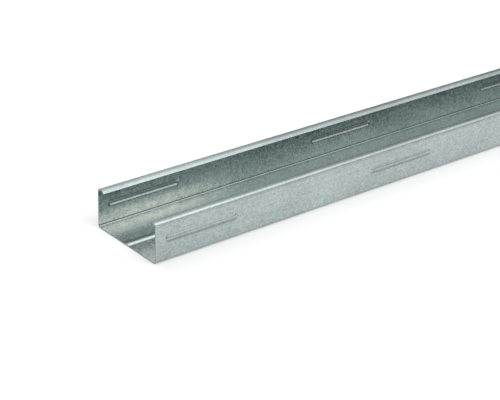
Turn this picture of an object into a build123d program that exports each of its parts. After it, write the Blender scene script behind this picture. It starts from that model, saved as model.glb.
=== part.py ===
from build123d import *
from math import cos, radians, sin, tan
import os

os.makedirs("parts", exist_ok=True)

# Ceiling channel: one length of zinc-coated sheet steel, roll-formed into an
# open C section. It lies on its web with the open side up. X runs along the
# length, Y across the width, and Z rises from the underside of the web.

# Section, measured over the outside of the sheet
LENGTH = 2600.0
WIDTH = 60.0
HEIGHT = 27.0
SHEET = 0.6

# Bend between web and flange, outside radius
CORNER_RADIUS = 1.8

# Lip: rolled over the top of the flange, then straight and sloping down inward
ROLL_RADIUS = 2.8
LIP_SLOPE = 40.0
LIP_REACH = 6.3

# Slope of every bead's sides, from the sheet it is pressed into
BEAD_SLOPE = 45.0

# Web bead: one ridge inside, along the whole length
WEB_BEAD_RISE = 1.1
WEB_BEAD_WIDTH = 4.8
WEB_BEAD_BEND = 0.8

# Flange beads: short grooves inside that stand out as ridges outside
FLANGE_BEAD_RISE = 0.8
FLANGE_BEAD_WIDTH = 4.2
FLANGE_BEAD_LENGTH = 53.6
FLANGE_BEAD_CENTRE = 14.5
BEAD_PITCH = 163.5
FIRST_BEAD_START = 6.9

# The middle of the sheet, from either face
middle = SHEET / 2

# The web bead's side drops what is left of the rise between its two bends
bead_bends = 2 * WEB_BEAD_BEND + SHEET
bead_side = (WEB_BEAD_RISE - bead_bends * (1 - cos(radians(BEAD_SLOPE)))) / sin(radians(BEAD_SLOPE))
bead_flank = bead_bends * sin(radians(BEAD_SLOPE)) + bead_side * cos(radians(BEAD_SLOPE))

# The lip runs on from the end of the roll until it has reached far enough inward
roll_reach = ROLL_RADIUS * (1 + sin(radians(LIP_SLOPE)))
lip_straight = (LIP_REACH - roll_reach) / cos(radians(LIP_SLOPE))

# Whole beads that fit in the length, counted from the visible end at -X
bead_count = int((LENGTH - FIRST_BEAD_START - FLANGE_BEAD_LENGTH) // BEAD_PITCH) + 1
bead_middle = FIRST_BEAD_START + (FLANGE_BEAD_LENGTH + (bead_count - 1) * BEAD_PITCH) / 2 - LENGTH / 2

# A flange ridge is rooted in the middle of the sheet. There it is wider than its
# groove's mouth by what keeps the sheet equally thick on the slope
slope_growth = 2 * SHEET * tan(radians(BEAD_SLOPE / 2))
ridge_growth = slope_growth + 2 * middle / tan(radians(BEAD_SLOPE))

with BuildPart() as ceiling_channel:
    # Half of the section follows the middle of the sheet from the web's centre to
    # the lip's tip, is given the sheet's thickness, and is mirrored
    with BuildSketch(Plane.YZ.offset(-LENGTH / 2)):
        with BuildLine():
            crown_height = middle + WEB_BEAD_RISE
            crown = Line((0, crown_height), (WEB_BEAD_WIDTH / 2 - bead_flank, crown_height))
            shoulder = JernArc(crown @ 1, crown % 1, WEB_BEAD_BEND + middle, -BEAD_SLOPE)
            flank = PolarLine(shoulder @ 1, bead_side, direction=shoulder % 1)
            foot = JernArc(flank @ 1, flank % 1, WEB_BEAD_BEND + middle, BEAD_SLOPE)
            web = Line(foot @ 1, (WIDTH / 2 - CORNER_RADIUS, middle))
            corner = JernArc(web @ 1, web % 1, CORNER_RADIUS - middle, 90)
            flange = Line(corner @ 1, (WIDTH / 2 - middle, HEIGHT - ROLL_RADIUS))
            roll = JernArc(flange @ 1, flange % 1, ROLL_RADIUS - middle, 90 + LIP_SLOPE)
            PolarLine(roll @ 1, lip_straight, direction=roll % 1)
        trace(line_width=SHEET)
        mirror(about=Plane.YZ)
    extrude(amount=LENGTH)

    # The flange beads lie in two rows, one on each flange, and stand outward
    inner_faces = [
        Plane((bead_middle, side * (WIDTH / 2 - SHEET), FLANGE_BEAD_CENTRE), (1, 0, 0), (0, side, 0))
        for side in (-1, 1)
    ]

    # Their ridges rise from the sheet to the outside
    with BuildSketch(*[face.offset(middle) for face in inner_faces]):
        with GridLocations(BEAD_PITCH, 0, bead_count, 1):
            SlotOverall(FLANGE_BEAD_LENGTH + ridge_growth, FLANGE_BEAD_WIDTH + ridge_growth)
    extrude(amount=middle + FLANGE_BEAD_RISE, taper=90 - BEAD_SLOPE)

    # Their grooves are sunk into the inside of the sheet
    with BuildSketch(*inner_faces):
        with GridLocations(BEAD_PITCH, 0, bead_count, 1):
            SlotOverall(FLANGE_BEAD_LENGTH, FLANGE_BEAD_WIDTH)
    extrude(amount=FLANGE_BEAD_RISE, taper=90 - BEAD_SLOPE, mode=Mode.SUBTRACT)

ceiling_channel.part.label = "ceiling_channel"
export_step(ceiling_channel.part, "parts/ceiling_channel.step")
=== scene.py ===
# %% [markdown]
# # A ceiling channel in rolled, zinc-coated sheet
#
# The real thing is one long strip of thin steel. A row of rollers bends it step by
# step into a C: a wide web, two upright flanges, and two lips rolled inward. Short
# beads are pressed into the flanges and one long bead runs down the web. This lesson
# dresses the CAD frame of that channel: first its size, then the sheet as one
# surface, then the metal's finish, and last the floor, the light and the camera.

# %% Load the frame
from math import cos, pi, radians, sin

import bpy
import numpy as np
from mathutils import Matrix, Vector


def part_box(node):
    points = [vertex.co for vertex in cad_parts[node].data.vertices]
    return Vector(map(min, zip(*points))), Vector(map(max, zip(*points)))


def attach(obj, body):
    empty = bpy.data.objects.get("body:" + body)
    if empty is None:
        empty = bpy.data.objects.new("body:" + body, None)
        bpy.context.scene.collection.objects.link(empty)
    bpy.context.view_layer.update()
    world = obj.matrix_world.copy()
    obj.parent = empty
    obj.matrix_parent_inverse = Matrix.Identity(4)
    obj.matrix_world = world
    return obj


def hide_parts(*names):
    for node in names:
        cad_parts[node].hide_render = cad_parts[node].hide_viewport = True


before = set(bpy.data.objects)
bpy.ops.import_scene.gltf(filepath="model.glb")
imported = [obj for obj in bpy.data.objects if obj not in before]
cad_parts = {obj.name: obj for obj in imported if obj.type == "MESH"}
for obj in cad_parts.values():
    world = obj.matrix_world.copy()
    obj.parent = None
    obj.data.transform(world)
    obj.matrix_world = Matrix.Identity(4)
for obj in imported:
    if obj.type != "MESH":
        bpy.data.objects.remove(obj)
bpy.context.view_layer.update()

low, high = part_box("ceiling_channel")
length, width, height = high - low
print(f"channel {length:.3f} m long, {width * 1000:.1f} mm wide, {height * 1000:.1f} mm high")

# %% [markdown]
# ## The section of the sheet
#
# The section could be drawn point by point, but every change of a radius would then
# move all the points after it. A folded sheet is easier to draw as a maker bends it: go
# straight for a while, turn by an angle along a radius, go straight again. Each stretch
# is a run with a length, a turn and a number of steps, and the line down the middle of
# the sheet comes from adding up the steps. The sizes are those of the CAD source, in
# metres, and overall width and height are read from the frame.

# %% Sizes of the bends and beads
MM = 0.001
SHEET = 0.6 * MM
CORNER_RADIUS = 1.8 * MM
ROLL_RADIUS = 2.8 * MM
LIP_SLOPE = radians(40)
LIP_REACH = 6.3 * MM
BEAD_SLOPE = radians(45)
WEB_BEAD_RISE = 1.1 * MM
WEB_BEAD_WIDTH = 4.8 * MM
WEB_BEAD_BEND = 0.8 * MM
FLANGE_BEAD_RISE = 0.8 * MM
FLANGE_BEAD_WIDTH = 4.2 * MM
FLANGE_BEAD_LENGTH = 53.6 * MM
FLANGE_BEAD_CENTRE = 14.5 * MM
BEAD_PITCH = 163.5 * MM
FIRST_BEAD_START = 6.9 * MM
middle = SHEET / 2
over_flanges = width - 2 * FLANGE_BEAD_RISE
half_width = over_flanges / 2
print(f"{over_flanges * 1000:.1f} mm over the flanges, without the beads")

# %% [markdown]
# The next helper does the bending. Each arc could have its own trigonometry, but many
# short steps that each turn a little give the same line from one short sum.


# %% Follow a bent line
def follow(runs, start):
    """Points of a bent line. Every run (length, turn, steps) is cut into equal steps;
    a step's heading is all turns before it plus half of its own, and its chord is its
    length times sin(turn / 2) / (turn / 2). Adding up the chords gives the points."""
    steps = [count for _, _, count in runs]
    step = np.repeat([run / count for run, _, count in runs], steps)
    turn = np.repeat([angle / count for _, angle, count in runs], steps)
    heading = np.cumsum(turn) - turn / 2
    chord = step * np.sinc(turn / (2 * pi))
    moves = chord * np.array([np.cos(heading), np.sin(heading)])
    return np.array(start)[:, None] + np.hstack([np.zeros((2, 1)), np.cumsum(moves, axis=1)])


# %% [markdown]
# Only half of the section is bent, from the middle of the web to the tip of the lip.
# Mirrored, it gives the other half as well, so both lips are sure to be alike. Bends
# get many steps and straights get few.

# %% Half of the section
bend_radius = WEB_BEAD_BEND + middle
flank = (WEB_BEAD_RISE - 2 * bend_radius * (1 - cos(BEAD_SLOPE))) / sin(BEAD_SLOPE)
flank_width = 2 * bend_radius * sin(BEAD_SLOPE) + flank * cos(BEAD_SLOPE)
bead_arc = bend_radius * BEAD_SLOPE
web_flat = half_width - CORNER_RADIUS - WEB_BEAD_WIDTH / 2
bead_top = 0.7 * MM
bead_foot = 2.5 * MM
below_beads = FLANGE_BEAD_CENTRE - bead_foot - CORNER_RADIUS
above_beads = height - ROLL_RADIUS - FLANGE_BEAD_CENTRE - bead_foot
roll_turn = pi / 2 + LIP_SLOPE
lip_flat = (LIP_REACH - ROLL_RADIUS * (1 + sin(LIP_SLOPE))) / cos(LIP_SLOPE)

half = follow(
    [
        (WEB_BEAD_WIDTH / 2 - flank_width, 0, 1),
        (bead_arc, -BEAD_SLOPE, 6),
        (flank, 0, 1),
        (bead_arc, BEAD_SLOPE, 6),
        (web_flat, 0, 3),
        ((CORNER_RADIUS - middle) * pi / 2, pi / 2, 8),
        (below_beads, 0, 1),
        (bead_foot - bead_top, 0, 7),
        (2 * bead_top, 0, 2),
        (bead_foot - bead_top, 0, 7),
        (above_beads, 0, 1),
        ((ROLL_RADIUS - middle) * roll_turn, roll_turn, 14),
        (lip_flat, 0, 1),
    ],
    start=(0, middle + WEB_BEAD_RISE),
)
mirrored = half[:, :0:-1] * [[-1], [1]]
across, up = np.hstack([mirrored, half])
print(f"section: {across.size} points, lip tip at {half[0, -1] * 1000:.2f}, {half[1, -1] * 1000:.2f} mm")

# %% [markdown]
# ## The sheet as one surface
#
# The surface has two parameters: the place along the section and the station along
# the length. Between two beads nothing changes, so the stations crowd together only
# where a bead begins or ends. On the real channel a press pushes the beads outward,
# flat on top, with sides that run out softly. Cutting each one with a Boolean would
# leave ragged rims, so a formula lifts the sheet. The height depends only on the
# distance to the bead's own middle line, and that rounds its ends as well.


# %% Press the beads
bead_count = int((length - FIRST_BEAD_START - FLANGE_BEAD_LENGTH) // BEAD_PITCH) + 1
bead_x = low.x + FIRST_BEAD_START + FLANGE_BEAD_LENGTH / 2 + BEAD_PITCH * np.arange(bead_count)
bead_straight = (FLANGE_BEAD_LENGTH - FLANGE_BEAD_WIDTH) / 2
print(f"{bead_count} beads on each flange, the first round x = {bead_x[0]:.4f}")


def bead_height(x, z):
    """Height of the nearest bead at (x, z). With s the way down its side, from 0 at
    the flat top to 1 at the foot, the height is rise * (1 - s * s * (3 - 2 * s))."""
    nearest = bead_x[np.abs(x[:, None] - bead_x).argmin(axis=1)]
    past_end = np.maximum(np.abs(x - nearest) - bead_straight, 0)
    distance = np.hypot(past_end[:, None], (z - FLANGE_BEAD_CENTRE)[None, :])
    side = np.clip((distance - bead_top) / (bead_foot - bead_top), 0, 1)
    return FLANGE_BEAD_RISE * (1 - side**2 * (3 - 2 * side))


# %% [markdown]
# Evenly spaced stations would have to be thousands to round the beads' ends. These lie
# close together at each end of a bead and nowhere else.

# %% Stations along the length
top_steps = np.linspace(0, bead_top, 5)
side_steps = np.linspace(bead_top, bead_foot, 8)
end_steps = bead_straight + np.concatenate([top_steps, side_steps[1:]])
one_bead = np.concatenate([-end_steps[::-1], end_steps])
stations = np.concatenate([[low.x], (bead_x[:, None] + one_bead).ravel(), [high.x]])
stations = np.unique(np.clip(stations, low.x, high.x))
print(f"{stations.size} stations along the length")

# %% [markdown]
# A Solidify modifier could thicken the middle surface, but the faces are wanted as
# arrays here. They lie half a thickness to either side of the middle surface, along its
# own normal, so the sheet keeps its thickness round every bend and bead. Strips along
# the lips and across the two cut ends close it to one solid skin.


# %% Give the surface its thickness
def sheet_faces():
    """Middle surface (x, y, z) over stations and section; its normal is the cross
    product of the two grid directions; the faces are middle plus and minus half a
    thickness times the unit normal."""
    x, y = np.meshgrid(stations, across, indexing="ij")
    z = np.broadcast_to(up, x.shape)
    pressed = y + np.sign(y) * bead_height(stations, up)
    centre = np.stack([x, pressed, z], axis=-1)
    along = np.gradient(centre, axis=0)
    over = np.gradient(centre, axis=1)
    normal = np.cross(along, over)
    normal /= np.linalg.norm(normal, axis=-1, keepdims=True)
    return centre - normal * middle, centre + normal * middle


outer, inner = sheet_faces()
print(f"outer face reaches y {outer[..., 1].min():.5f} and z {outer[..., 2].max():.5f}")

# %% [markdown]
# Blender wants a list of points and, for each face, the numbers of its corners in the
# order that turns it outward. The points of a grid are numbered row by row, so the
# strips along its borders are picked by slicing those numbers.


# %% Join both faces into one skin
def skin(outside, inside):
    """Quads of both grids, and strips that join their four borders, all turned outward."""
    rows, columns = outside.shape[:2]
    points = np.concatenate([outside.reshape(-1, 3), inside.reshape(-1, 3)])
    grid = np.arange(rows * columns).reshape(rows, columns)
    far = grid + rows * columns

    def quads(a, b, c, d):
        return np.stack([a, b, c, d], axis=-1).reshape(-1, 4)

    faces = [
        quads(grid[:-1, :-1], grid[:-1, 1:], grid[1:, 1:], grid[1:, :-1]),
        quads(far[:-1, :-1], far[1:, :-1], far[1:, 1:], far[:-1, 1:]),
        quads(grid[:-1, 0], grid[1:, 0], far[1:, 0], far[:-1, 0]),
        quads(grid[:-1, -1], far[:-1, -1], far[1:, -1], grid[1:, -1]),
        quads(grid[0, :-1], far[0, :-1], far[0, 1:], grid[0, 1:]),
        quads(grid[-1, :-1], grid[-1, 1:], far[-1, 1:], far[-1, :-1]),
    ]
    return points, np.concatenate(faces)


points, faces = skin(outer, inner)
mesh = bpy.data.meshes.new("channel_sheet")
mesh.from_pydata(points.tolist(), [], faces.tolist())
mesh.shade_smooth()
mesh.set_sharp_from_angle(angle=radians(50))
channel = bpy.data.objects.new("channel_sheet", mesh)
bpy.context.scene.collection.objects.link(channel)
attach(channel, "root")
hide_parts("ceiling_channel")
print(f"channel sheet: {len(mesh.polygons)} quads")

# %% [markdown]
# Smooth shading blends the direction of neighbouring faces. A wide flat beside a narrow
# bend would then look bent as well. Weighing each face by its area keeps flats flat.

# %% Let wide faces win
weighing = channel.modifiers.new("weighing by area", "WEIGHTED_NORMAL")
weighing.keep_sharp = True
weighing.weight = 100
print(f"modifiers: {[modifier.name for modifier in channel.modifiers]}")

# %% [markdown]
# ## The finish
#
# Hot-dip zinc cools into grains, each one a crystal that mirrors the light a little
# differently. A photo of zinc could be wrapped round the channel, but it would show
# seams and blur near the camera, so nodes work the pattern out. Their sums read best as
# plain Python: a small class wraps a socket and lets +, - and * add the Math nodes.


# %% Write shader sums in Python
class Value:
    """A number or vector socket of a finish, with arithmetic."""

    def __init__(self, finish, socket):
        self.finish = finish
        self.socket = socket

    def _math(self, operation, first, second):
        return self.finish.node("ShaderNodeMath", {"operation": operation}, {0: first, 1: second})

    def __add__(self, other):
        return self._math("ADD", self, other)

    def __radd__(self, other):
        return self._math("ADD", other, self)

    def __sub__(self, other):
        return self._math("SUBTRACT", self, other)

    def __rsub__(self, other):
        return self._math("SUBTRACT", other, self)

    def __mul__(self, other):
        return self._math("MULTIPLY", self, other)

    def __rmul__(self, other):
        return self._math("MULTIPLY", other, self)

    def __abs__(self):
        return self._math("ABSOLUTE", self, 0)

    def ramp(self, start, end):
        """0 up to start, 1 from end on, and a soft step between. With start above
        end it falls instead."""
        settings = {"interpolation_type": "SMOOTHSTEP"}
        sockets = {"Value": self, "From Min": start, "From Max": end}
        return self.finish.node("ShaderNodeMapRange", settings, sockets)

    def line(self, at, reach):
        """1 where the value is at, falling to 0 within reach to either side."""
        return abs(self - at).ramp(reach, 0)


# %% [markdown]
# All other nodes come from one method that takes the node's type, its settings and
# what goes into its sockets. A world has the same kind of node tree as a material, so
# the same class builds the sky further down.


# %% Build a material node by node
class Finish:
    """A material, or a world, that is built one node at a time."""

    def __init__(self, name, store=bpy.data.materials):
        self.material = store.new(name)
        self.material.use_nodes = True
        self.tree = self.material.node_tree
        self.tree.nodes.clear()

    def node(self, kind, settings=None, sockets=None, output=0):
        """Adds a node: its settings first, then the values or links of its sockets."""
        made = self.tree.nodes.new(kind)
        for name, value in (settings or {}).items():
            setattr(made, name, value)
        for name, value in (sockets or {}).items():
            if isinstance(value, Value):
                self.tree.links.new(value.socket, made.inputs[name])
            else:
                made.inputs[name].default_value = value
        return Value(self, made.outputs[output])

    def vector(self, operation, first, second, output=0):
        """Vector Math on two vectors."""
        return self.node("ShaderNodeVectorMath", {"operation": operation}, {0: first, 1: second}, output)

    def part(self, vector, output):
        """The x, y or z part of a vector, as output 0, 1 or 2."""
        return self.node("ShaderNodeSeparateXYZ", None, {0: vector}, output)

    def blend(self, amount, first, second, how="MIX"):
        """Mix of two colours. Several of its sockets are called A, B or Result, so those
        for colours go by number."""
        settings = {"data_type": "RGBA", "blend_type": how}
        return self.node("ShaderNodeMix", settings, {0: amount, 6: first, 7: second}, output=2)

    def noise(self, place, size, detail=2.0):
        """Cloudy noise with patches of about the given size, spread over 0 to 1."""
        sockets = {"Vector": place, "Scale": 1 / size, "Detail": detail}
        return self.node("ShaderNodeTexNoise", None, sockets).ramp(0.3, 0.7)

    def surface(self, shader, output="ShaderNodeOutputMaterial"):
        """Joins the shader to the output, which finishes the material or world."""
        end = self.tree.nodes.new(output)
        self.tree.links.new(shader.socket, end.inputs["Surface"])
        return self.material


# %% [markdown]
# Every mark of the finish is placed by where it lies: along the length, across the
# width and above the web's underside. Object coordinates give these in metres, and
# they don't move with the camera. A place on a flange is outside where its normal
# points away from the channel's middle.

# %% Where a point lies on the channel
zinc = Finish("zinc_sheet")
place = zinc.node("ShaderNodeTexCoord", output="Object")
along, across_width, up_side = [zinc.part(place, output) for output in range(3)]
from_middle = abs(across_width)
smooth_normal = zinc.node("ShaderNodeNewGeometry", output="Normal")
outside = (zinc.part(smooth_normal, 1) * across_width).ramp(0, 0.01)
print(f"the flanges stand {half_width * 1000:.1f} mm from the middle")

# %% [markdown]
# The zinc's tone adds four sizes of pattern: single grains, speckle between them,
# mottling, and wide clouds. Voronoi gives the grains, because its cells have straight
# borders and each has a tone of its own, as crystals have. The rollers drag faint
# streaks along the length, so that noise is measured in a space squeezed along X.

# %% Tone of the zinc
ZINC_DARK = (0.29, 0.342, 0.335, 1)
ZINC_LIGHT = (0.57, 0.65, 0.64, 1)
GRAIN = 1.35 * MM
SQUEEZE = 0.02
grains = zinc.node("ShaderNodeTexVoronoi", None, {"Vector": place, "Scale": 1 / GRAIN}, "Color")
grain_tone, grain_turn = [zinc.part(grains, output) for output in (0, 1)]
speckle = zinc.noise(place, 1.1 * MM)
mottle = zinc.noise(place, 6 * MM)
clouds = zinc.noise(place, 45 * MM, 4.0)
streaks = zinc.noise(zinc.vector("MULTIPLY", place, (SQUEEZE, 1, 1)), 0.9 * MM, 3.0)
tone = 0.33 * grain_tone + 0.25 * speckle + 0.1 * mottle + 0.2 * clouds + 0.12 * streaks
zinc_colour = zinc.blend(tone, ZINC_DARK, ZINC_LIGHT)
print(f"grains {GRAIN * 1000:.2f} mm wide, {length / GRAIN:.0f} of them along the channel")

# %% [markdown]
# Zinc is never one hue. A warm and a cool cast alternate from grain to grain. Multiply
# lays each cast over the tone like a coloured glass, so the pattern stays.

# %% Warm and cool casts
WARM = (1.03, 1.0, 0.965, 1)
COOL = (0.97, 1.0, 1.035, 1)
hue = 0.6 * grain_turn + 0.4 * zinc.noise(place, 4 * MM)
casts = zinc.blend(1.0, zinc_colour, zinc.blend(hue, COOL, WARM), "MULTIPLY")
print(f"casts from {COOL[:3]} to {WARM[:3]}")

# %% [markdown]
# Near the cut end the inside of the far flange and the web beside it are painted paler
# and warmer. This is a painted reflection of warm light that shines in at the open end.
# The painted light is strong on the lower part of the flange and only a breath on the web.

# %% Painted warm light in the far corner
WARM_LIGHT_TINT = (1.66, 1.48, 1.41, 1)
WARM_LIGHT_LENGTH = 110 * MM
WARM_LIGHT_HEIGHT = 12 * MM
WARM_LIGHT_WIDTH = 14 * MM
near_end = along.ramp(low.x + WARM_LIGHT_LENGTH, low.x + WARM_LIGHT_LENGTH - 50 * MM)
low_down = (1 - outside) * up_side.ramp(WARM_LIGHT_HEIGHT, WARM_LIGHT_HEIGHT - 5 * MM)
beside_flange = across_width.ramp(half_width - WARM_LIGHT_WIDTH, half_width - WARM_LIGHT_WIDTH + 6 * MM)
on_flange = up_side.ramp(SHEET, 3 * MM)
# painted light: a brighter, warmer patch that stands in for light shining in at the open end
painted_warm_light = near_end * low_down * beside_flange * (0.1 + 0.1 * mottle + 0.8 * on_flange)
warm_lit_colour = zinc.blend(painted_warm_light, casts, zinc.blend(1.0, casts, WARM_LIGHT_TINT, "MULTIPLY"))
print(f"stain {WARM_LIGHT_LENGTH * 1000:.0f} mm long and {WARM_LIGHT_HEIGHT * 1000:.0f} mm high")

# %% [markdown]
# A fine darker line is painted at each end of a bend and where each lip's roll ends.
# The crest of each lip is darkened as painted shade that dims its highlight, and the
# inside of the lower corners gets painted crease shade. Two rollers leave a faint mark
# along each flange. Each line of a bend is placed by the sizes of that bend, so it
# moves along when they change. The streaks break the roller marks up.

# %% Painted shade on crests and corners, and lines of the bends and rollers
SHADE_AND_MARK_GREY = (0.22, 0.25, 0.245, 1)
ROLLER_HEIGHTS = (18 * MM, 20.6 * MM)
bend_lines = up_side.line(CORNER_RADIUS, 0.5 * MM) + up_side.line(height - ROLL_RADIUS, 0.5 * MM)
roll_end = half_width - ROLL_RADIUS * (1 + sin(LIP_SLOPE))
lip_line = from_middle.line(roll_end, 0.6 * MM) * up_side.ramp(height - 1.6 * MM, height - 1.2 * MM)
on_top = up_side.ramp(height - 1 * MM, height - 0.5 * MM)
# painted shade: darkens the crest of each lip to dim its highlight
painted_crest_shade = from_middle.line(half_width - ROLL_RADIUS, 1.6 * MM) * on_top
at_side = from_middle.ramp(half_width - 1.7 * MM, half_width - 1.1 * MM)
# painted shade in the inside of the lower corners, where the crease is
painted_corner_shade = (1 - outside) * at_side * up_side.ramp(2.1 * MM, 1.7 * MM)
roller_marks = up_side.line(ROLLER_HEIGHTS[0], 0.3 * MM) + up_side.line(ROLLER_HEIGHTS[1], 0.35 * MM)
shade_and_roller_marks = 0.5 * (bend_lines + lip_line + painted_crest_shade) + 0.6 * painted_corner_shade + 0.2 * roller_marks * streaks
lined = zinc.blend(shade_and_roller_marks, warm_lit_colour, SHADE_AND_MARK_GREY)
print(f"each lip's roll ends {roll_end * 1000:.2f} mm from the middle")

# %% [markdown]
# The sides of the beads get painted shade: a dark band under the crest of each ridge and
# a darker upper side of it on the outside, which dims its highlight, and a darker lower
# side of each groove on the inside, which dims its bright line. A mask for each bead would
# need as many nodes as there are beads, so WRAP repeats one bead's place along the length
# at the beads' own pitch.

# %% Painted shade on the sides of the beads
wrapping = {0: along - float(bead_x[0]), 1: BEAD_PITCH / 2, 2: -BEAD_PITCH / 2}
from_bead = abs(zinc.node("ShaderNodeMath", {"operation": "WRAP"}, wrapping))
in_bead = from_bead.ramp(FLANGE_BEAD_LENGTH / 2, FLANGE_BEAD_LENGTH / 2 - 1.5 * MM)
ridge_underside_shade = 0.7 * up_side.line(FLANGE_BEAD_CENTRE - 1.1 * MM, 1.8 * MM)
ridge_top_shade = 0.45 * up_side.line(FLANGE_BEAD_CENTRE + 1.6 * MM, 0.9 * MM)
groove_side_shade = 0.65 * up_side.line(FLANGE_BEAD_CENTRE - 1.5 * MM, 1.3 * MM)
# painted shade on the bead sides: on the ridge outside and in the groove inside
painted_bead_shade = in_bead * (outside * (ridge_underside_shade + ridge_top_shade) + (1 - outside) * groove_side_shade)
bead_shaded_colour = zinc.blend(painted_bead_shade, lined, SHADE_AND_MARK_GREY)
print(f"rubbed places repeat every {BEAD_PITCH * 1000:.1f} mm")

# %% [markdown]
# Painted shade darkens the flange beads' grooves on the inside, on their upper side and
# along their bottom, and a painted shadow lies on the web behind its bead.

# %% Painted shade in the grooves and painted shadow behind the web bead
GROOVE_SHADE_COLOUR = (0.10, 0.115, 0.11, 1)
upper_groove_shade = up_side.line(FLANGE_BEAD_CENTRE + 1.6 * MM, 1.5 * MM)
groove_floor_shade = up_side.line(FLANGE_BEAD_CENTRE, 0.9 * MM)
behind_bead = WEB_BEAD_WIDTH / 2 + 0.8 * MM
web_bead_shadow = across_width.line(behind_bead, 0.9 * MM) * up_side.ramp(1 * MM, 0.7 * MM)
# painted shade inside the grooves and painted shadow on the web behind its bead
groove_shade = in_bead * (1 - outside) * (0.95 * upper_groove_shade + 0.45 * groove_floor_shade)
shaded_colour = zinc.blend(groove_shade + 0.9 * web_bead_shadow, bead_shaded_colour, GROOVE_SHADE_COLOUR)
# the painted shadow on the web lies this far from its middle
print(f"dirt on the web lies {behind_bead * 1000:.1f} mm from its middle")

# %% [markdown]
# The strip is coated before it is cut to length, so both ends show bare steel. The
# mask takes only the last hundredths of a millimetre, which is the cut face itself.

# %% Bare cut ends
BARE_STEEL = (0.30, 0.32, 0.32, 1)
bare = abs(along).ramp(length / 2 - 0.06 * MM, length / 2 - 0.03 * MM)
colour = zinc.blend(bare, shaded_colour, BARE_STEEL)
print(f"bare steel at x = {low.x:.3f} and {high.x:.3f}")

# %% [markdown]
# Each grain lies a little crooked, which is what makes zinc glitter. A Bump node would
# only tilt the borders of the grains, so the grain's own colour, seen as a direction,
# tilts the whole normal. Zinc is a metal through and through, dull satin rather than
# polished, and each grain is a little smoother or rougher than the next.

# %% Galvanised steel
TILT = 0.055
lean = zinc.vector("SUBTRACT", grains, (0.5, 0.5, 0.5))
tilted = zinc.vector("ADD", smooth_normal, zinc.vector("MULTIPLY", lean, (TILT, TILT, TILT)))
normal = zinc.node("ShaderNodeVectorMath", {"operation": "NORMALIZE"}, {0: tilted})
roughness = 0.19 + 0.1 * grain_tone + 0.06 * clouds + 0.25 * bare
sockets = {"Base Color": colour, "Roughness": roughness, "Metallic": 1.0, "Normal": normal}
steel = zinc.node("ShaderNodeBsdfPrincipled", None, sockets)
channel.data.materials.append(zinc.surface(steel))
print(f"the finish has {len(zinc.tree.nodes)} nodes")

# %% [markdown]
# ## Floor, light and camera
#
# The channel lies on its web on a pale floor. A floor lit only by the sky would come
# out grey, so a quarter of what the camera and mirror-like surfaces see of it is plain
# white. The rest is lit as usual and keeps the channel's shadow.

# %% Pale floor
FLOOR_SIZE = 60.0
FLOOR_DROP = 0.05 * MM
FLOOR_COLOUR = (0.95, 0.95, 0.95, 1)
WHITE_SHARE = 0.25
reach = FLOOR_SIZE / 2
corners = [(-reach, -reach), (reach, -reach), (reach, reach), (-reach, reach)]
floor_mesh = bpy.data.meshes.new("floor")
floor_mesh.from_pydata([(x, y, low.z - FLOOR_DROP) for x, y in corners], [], [(0, 1, 2, 3)])
floor = bpy.data.objects.new("floor", floor_mesh)
bpy.context.scene.collection.objects.link(floor)

pale = Finish("pale_floor")
from_camera = pale.node("ShaderNodeLightPath", output="Is Camera Ray")
from_metal = pale.node("ShaderNodeLightPath", output="Is Glossy Ray")
seen = pale.node("ShaderNodeMath", {"operation": "MAXIMUM"}, {0: from_camera, 1: from_metal})
lit = pale.node("ShaderNodeBsdfDiffuse", None, {"Color": FLOOR_COLOUR})
white = pale.node("ShaderNodeEmission", None, {"Color": (1, 1, 1, 1), "Strength": 1.0})
mixed = pale.node("ShaderNodeMixShader", None, {0: seen * WHITE_SHARE, 1: lit, 2: white})
floor.data.materials.append(pale.surface(mixed))
print(f"floor {FLOOR_SIZE:.0f} m wide, {FLOOR_DROP * 1000:.2f} mm below the web")

# %% [markdown]
# Metal shows what stands round it. Area lamps would give it hard-edged bright patches,
# so the studio is painted into the world as a few soft lights: the strongest high in
# front, weaker ones overhead and at the back, and a faint one at each end. Each is
# brightest towards its middle and fades all round. With D the direction to its middle
# and d any direction, strength * exp(FADE * (d . D - 1)) gives such a light, and the
# world adds them up. The list gives azimuth and elevation in degrees, and strength.

# %% Studio light
SOFT_LIGHTS = {
    "front left": (-110, 58, 1.32),
    "front right": (-65, 58, 1.50),
    "low front right": (-65, 33, 1.02),
    "low right": (-35, 33, 0.47),
    "low back": (75, 28, 0.90),
    "back right": (60, 48, 0.30),
    "back": (90, 48, 0.70),
    "high back": (90, 68, 0.84),
    "overhead": (0, 88, 1.06),
    "far end": (0, 12, 0.36),
    "near end": (180, 15, 0.45),
}
FADE = 10.0

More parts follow.
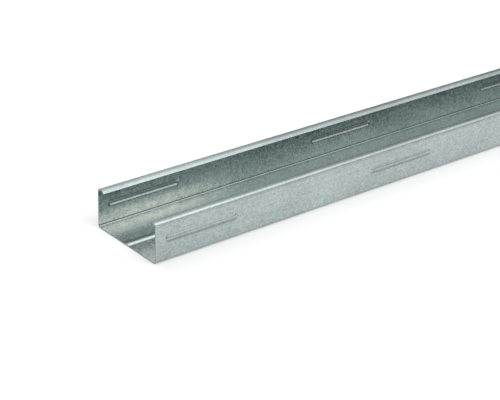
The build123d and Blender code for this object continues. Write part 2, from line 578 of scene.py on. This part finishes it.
studio = Finish("studio", bpy.data.worlds)
direction = studio.node("ShaderNodeTexCoord", output="Generated")
sky_strength = 0.0
for azimuth, elevation, strength in SOFT_LIGHTS.values():
    level_part = cos(radians(elevation))
    towards = (
        cos(radians(azimuth)) * level_part,
        sin(radians(azimuth)) * level_part,
        sin(radians(elevation)),
    )
    agreement = studio.vector("DOT_PRODUCT", direction, towards, "Value")
    fading = studio.node("ShaderNodeMath", {"operation": "EXPONENT"}, {0: FADE * (agreement - 1)})
    sky_strength = sky_strength + strength * fading
glow = studio.node("ShaderNodeBackground", None, {"Color": (1, 1, 1, 1), "Strength": sky_strength})
bpy.context.scene.world = studio.surface(glow, "ShaderNodeOutputWorld")
print(f"{len(SOFT_LIGHTS)} soft lights in the sky")

# %% [markdown]
# The camera stands where the photographer's stood. Place, direction and lens are worked
# out from the channel's own edges in the photo, because width and height of the cut
# end are known. The view transform is Standard, so that colours show as written.

# %% Camera
CAMERA_PLACE = Vector((-1.757264, -0.67349, 0.428454))
AZIMUTH = radians(-39.341)
ELEVATION = radians(26.017)
ROLL = radians(1.623)
LENS_IN_WIDTHS = 1528.866 / 500

back = Vector((sin(AZIMUTH) * cos(ELEVATION), -cos(AZIMUTH) * cos(ELEVATION), sin(ELEVATION)))
level = Vector((cos(AZIMUTH), sin(AZIMUTH), 0))
upright = back.cross(level)
camera_right = level * cos(ROLL) + upright * sin(ROLL)
camera_up = upright * cos(ROLL) - level * sin(ROLL)

camera_data = bpy.data.cameras.new("camera")
camera_data.sensor_width = 36
camera_data.sensor_fit = "HORIZONTAL"
camera_data.lens = LENS_IN_WIDTHS * camera_data.sensor_width
camera_data.clip_start = 0.01
camera_data.clip_end = 100
camera = bpy.data.objects.new("camera", camera_data)
turn = Matrix((camera_right, camera_up, back)).transposed()
camera.matrix_world = Matrix.Translation(CAMERA_PLACE) @ turn.to_4x4()
bpy.context.scene.collection.objects.link(camera)
bpy.context.scene.camera = camera
bpy.context.scene.view_settings.view_transform = "Standard"
print(f"lens {camera_data.lens:.0f} mm, {CAMERA_PLACE.z:.2f} m above the floor")

# %% [markdown]
# Last, the view layer is updated, so that every object stands where it was put.

# %% Update the view layer
bpy.context.view_layer.update()
